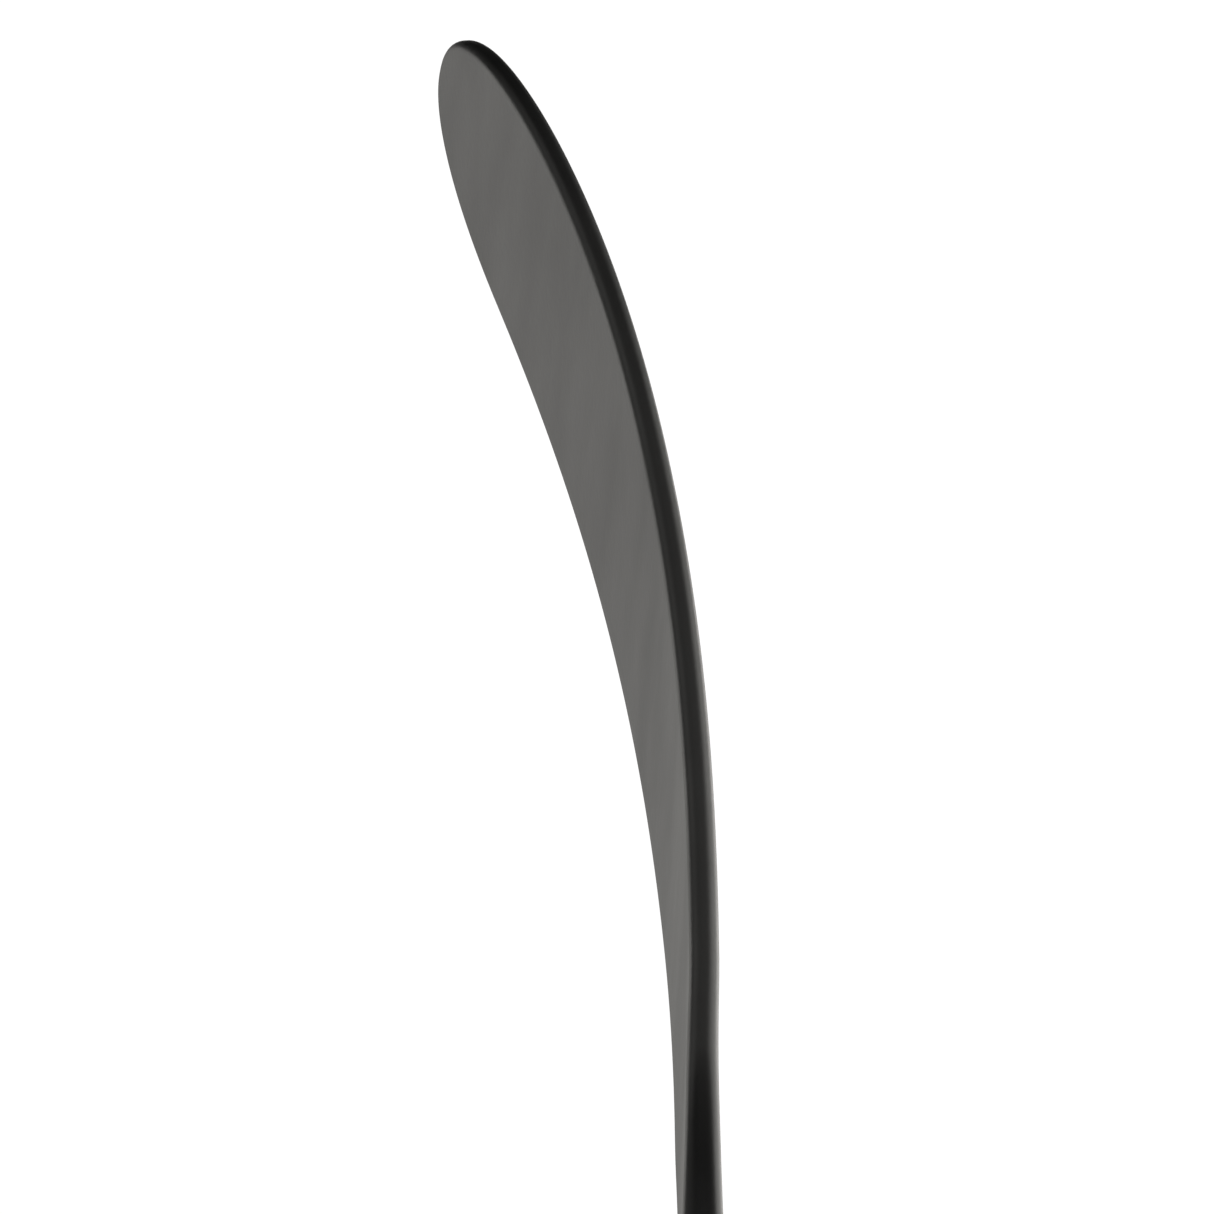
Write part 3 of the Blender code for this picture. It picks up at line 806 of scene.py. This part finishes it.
def core_foam(name):
    """Pale closed-cell foam with fine pores."""
    material, tree, shader = new_material(name)
    pores = cells(tree, scale=1600.0)
    colour(tree, shader, pores, dark=(0.45, 0.39, 0.24), light=(0.66, 0.59, 0.40))
    roughen(tree, shader, noise(tree, scale=400.0, detail=2.0), low=0.85, high=0.95)
    bump(tree, shader, pores, height=0.0002)
    return material


def pressed_carbon(name):
    """Bare carbon fibre that runs along the blade."""
    material, tree, shader = new_material(name)
    tows = noise(tree, scale=900.0, detail=4.0, lengths=(1.0, 1.0, 12.0), turn=-LEAN)
    colour(tree, shader, tows, dark=(0.020, 0.020, 0.022), light=(0.065, 0.065, 0.070))
    roughen(tree, shader, tows, low=0.35, high=0.55)
    bump(tree, shader, tows, height=0.00005)
    return material


def studio_floor(name):
    """A pale floor that glows nearly as bright as the backdrop, so that the two meet softly."""
    material, tree, shader = new_material(name)
    grain = noise(tree, scale=3.0, detail=3.0)
    colour(tree, shader, grain, dark=(0.085, 0.085, 0.085), light=(0.105, 0.105, 0.105))
    shader.inputs["Roughness"].default_value = 0.7
    shader.inputs["Emission Color"].default_value = (1.0, 1.0, 1.0, 1.0)
    shader.inputs["Emission Strength"].default_value = FLOOR_GLOW
    return material


# ---------------------------------------------------------------- stage


def make_softbox(name, bearing, elevation, width, height, brightness):
    """A soft rectangular light aimed at the blade."""
    turn = math.radians(bearing)
    rise = math.radians(elevation)
    away = Vector(
        (-math.cos(turn) * math.cos(rise), -math.sin(turn) * math.cos(rise), math.sin(rise))
    )
    light = bpy.data.lights.new(name, "AREA")
    light.shape = "RECTANGLE"
    light.size = width
    light.size_y = height
    light.energy = WATTS_PER_BRIGHTNESS * width * height * brightness
    light.color = SOFTBOX_TINT
    lamp = bpy.data.objects.new(name, light)
    lamp.location = AIM + SOFTBOX_DISTANCE * away
    lamp.rotation_mode = "QUATERNION"
    lamp.rotation_quaternion = (-away).to_track_quat("-Z", "Y")
    lamp.visible_camera = False
    bpy.context.scene.collection.objects.link(lamp)


def make_floor(material):
    """A round pale floor, low enough for the plug to be drawn all the way out above it."""
    shape = bmesh.new()
    bmesh.ops.create_circle(
        shape, cap_ends=True, segments=FLOOR_DIVISIONS, radius=FLOOR_RADIUS
    )
    mesh = bpy.data.meshes.new("floor")
    shape.to_mesh(mesh)
    shape.free()
    mesh.materials.append(material)
    floor = bpy.data.objects.new("floor", mesh)
    floor.location.z = -FLOOR_DROP
    bpy.context.scene.collection.objects.link(floor)


def make_camera():
    """A long lens, level with the blade."""
    data = bpy.data.cameras.new("camera")
    data.lens = CAMERA_LENS
    data.sensor_width = SENSOR_WIDTH
    camera = bpy.data.objects.new("camera", data)
    camera.location = AIM + Vector((CAMERA_DISTANCE, 0.0, 0.0))
    camera.rotation_mode = "QUATERNION"
    camera.rotation_quaternion = Vector((-1.0, 0.0, 0.0)).to_track_quat("-Z", "Y")
    bpy.context.scene.collection.objects.link(camera)
    bpy.context.scene.camera = camera


def make_world():
    """White all round for the camera, and nearly dark for everything else."""
    world = bpy.data.worlds.new("studio")
    world.use_nodes = True
    tree = world.node_tree
    tree.nodes.clear()
    output = tree.nodes.new("ShaderNodeOutputWorld")
    mix = tree.nodes.new("ShaderNodeMixShader")
    seen = tree.nodes.new("ShaderNodeBackground")
    seen.inputs["Strength"].default_value = BACKDROP_STRENGTH
    fill = tree.nodes.new("ShaderNodeBackground")
    fill.inputs["Strength"].default_value = FILL_STRENGTH
    path = tree.nodes.new("ShaderNodeLightPath")
    for node in (seen, fill):
        node.inputs["Color"].default_value = (1.0, 1.0, 1.0, 1.0)
    tree.links.new(path.outputs["Is Camera Ray"], mix.inputs["Fac"])
    tree.links.new(fill.outputs["Background"], mix.inputs[1])
    tree.links.new(seen.outputs["Background"], mix.inputs[2])
    tree.links.new(mix.outputs["Shader"], output.inputs["Surface"])
    bpy.context.scene.world = world


def make_stick():
    """Every visible piece, and the materials of the CAD pieces sealed inside."""
    make_blade(satin_paint("blade_paint", BLADE_BLACK, BLADE_ROUGHNESS, BLADE_GRAIN, -LEAN))
    make_shaft(satin_paint("shaft_paint", SHAFT_BLACK, SHAFT_ROUGHNESS, SHAFT_GRAIN))
    make_plug(moulded_plastic("plug_plastic_matt"))
    resin = filled_resin("resin")
    make_tenon(resin)
    make_glue(hot_melt_glue("glue"))
    foam = core_foam("foam")
    inner_materials = {
        "lower_core": foam,
        "upper_core": foam,
        "blade_rib": pressed_carbon("carbon"),
        "toe_block": resin,
    }
    for node, material in inner_materials.items():
        bpy.data.objects[node].material_slots[0].material = material


make_camera()
make_world()
for name, settings in SOFTBOXES.items():
    make_softbox(name, *settings)
make_floor(studio_floor("pale_floor"))
make_stick()

bpy.context.scene.view_settings.view_transform = "Standard"
